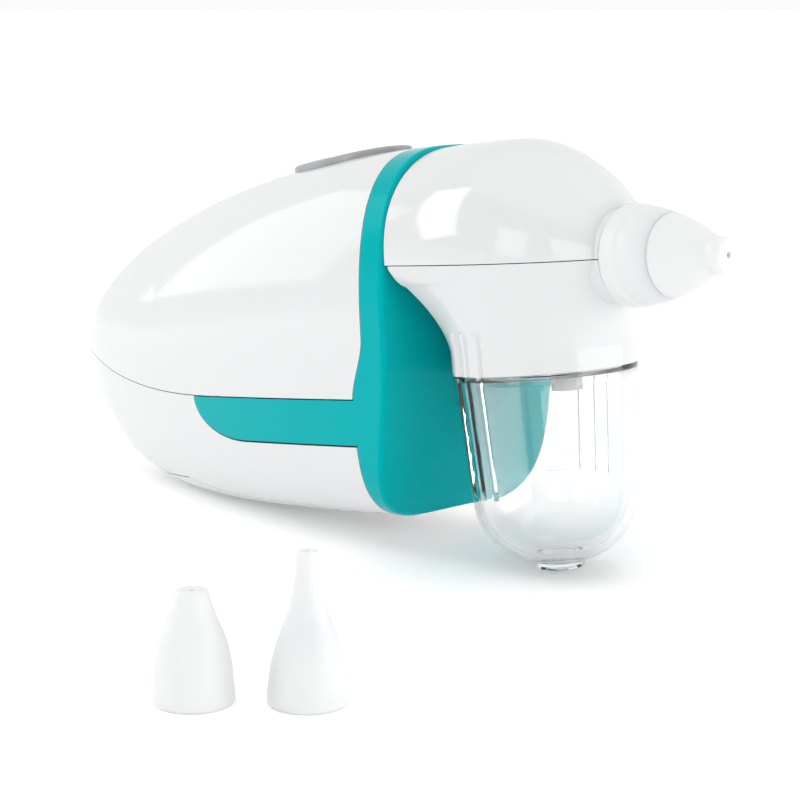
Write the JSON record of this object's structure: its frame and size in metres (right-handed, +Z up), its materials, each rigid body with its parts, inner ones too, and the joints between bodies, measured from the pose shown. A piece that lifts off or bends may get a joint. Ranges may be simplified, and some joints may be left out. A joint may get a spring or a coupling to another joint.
{
  "type": "electric nasal aspirator",
  "caption": "Handheld battery suction aspirator with a rocker button, clear twist-off collection cup, soft nozzle tip and loose spare tips.",
  "frame": {"origin": "centre of the bounding box's bottom face, on the table", "axes": "+X is the way the nozzle points, +Y is the device's left side, +Z is up from the table"},
  "size_m": [0.1724, 0.1178, 0.0744],
  "materials": {
    "white_shell": "smooth moulded gloss",
    "teal_shell": "smooth moulded gloss",
    "clear_cup": "clear rigid plastic",
    "silicone": "milky satin silicone",
    "grey_key": "satin grey",
    "inner_white": "as moulded",
    "inner_black": "as moulded",
    "steel": "plated",
    "brass": "plain",
    "copper": "enamelled winding wire on poles",
    "board": "solder mask",
    "foam": "open foam",
    "cell": "printed sleeve with no lettering",
    "rubber": "moulded rubber",
    "red_wire": "insulated wire",
    "black_wire": "insulated wire"
  },
  "bodies": {
    "casing": {"upper_casing": "white_shell", "lower_casing": "white_shell", "front_frame": "teal_shell", "head_upper_shell": "white_shell", "head_lower_shell": "white_shell", "cup_seal": "silicone", "separator_plate": "inner_white", "drip_tube": "inner_white", "button_pin": "steel", "switch_board": "board", "front_switch": "inner_black", "rear_switch": "inner_black", "battery_tray": "inner_black", "contact_bridge": "steel", "motor_can": "steel", "motor_end_cap": "inner_black", "pump_wobble_plate": "inner_black", "pump_housing": "inner_black", "pump_diaphragm": "rubber", "pump_valve_plate": "inner_black", "pump_cover": "inner_black", "pump_bracket": "inner_white", "exhaust_muffler": "foam", "suction_tube": "silicone", "filter_holder": "inner_white", "filter_disc": "foam", "control_board": "board", "battery_lead_red": "red_wire", "battery_lead_black": "black_wire", "switch_lead": "black_wire", "nozzle_connector": "inner_white", "nozzle_collar": "silicone", "battery_left": "cell", "battery_right": "cell", "battery_spring_left": "steel", "battery_spring_right": "steel", "contact_plate_left": "brass", "contact_plate_right": "brass", "casing_screw_left": "steel", "casing_screw_right": "steel", "bracket_screw_left": "steel", "bracket_screw_right": "steel"},
    "button": {"power_button": "grey_key"},
    "cup": {"collection_cup": "clear_cup"},
    "tip": {"nozzle_tip": "silicone"},
    "door": {"battery_door": "white_shell"},
    "rotor": {"motor_rotor": "copper", "pump_eccentric": "inner_white"},
    "spare_short": {"spare_tip_short": "silicone"},
    "spare_long": {"spare_tip_long": "silicone"}
  },
  "joints": [
    {"name": "button_rock", "type": "hinge", "parent": "casing", "child": "button", "pos_m": [-0.00281, 0.03741, 0.06407], "axis": [0, 1, 0], "range_deg": [-2.5, 2.5], "stiffness_Nm_per_rad": 0.6},
    {"name": "cup_twist", "type": "hinge", "parent": "casing", "child": "cup", "pos_m": [0.04663, 0.03741, 0.03505], "axis": [-0.1257, 0, 0.9921], "range_deg": [0, 30]},
    {"name": "tip_pull", "type": "slide", "parent": "casing", "child": "tip", "axis": [0.9958, 0, 0.091], "range_m": [0, 0.012]},
    {"name": "door_slide", "type": "slide", "parent": "casing", "child": "door", "axis": [-0.9921, 0, -0.1257], "range_m": [0, 0.006]},
    {"name": "motor_spin", "type": "hinge", "parent": "casing", "child": "rotor", "pos_m": [-0.01503, 0.03741, 0.04437], "axis": [0.9921, 0, 0.1257], "continuous": true},
    {"name": "spare_short_lift", "type": "slide", "parent": "casing", "child": "spare_short", "axis": [0, 0, 1], "range_m": [0, 0.03]},
    {"name": "spare_long_lift", "type": "slide", "parent": "casing", "child": "spare_long", "axis": [0, 0, 1], "range_m": [0, 0.03]}
  ]
}
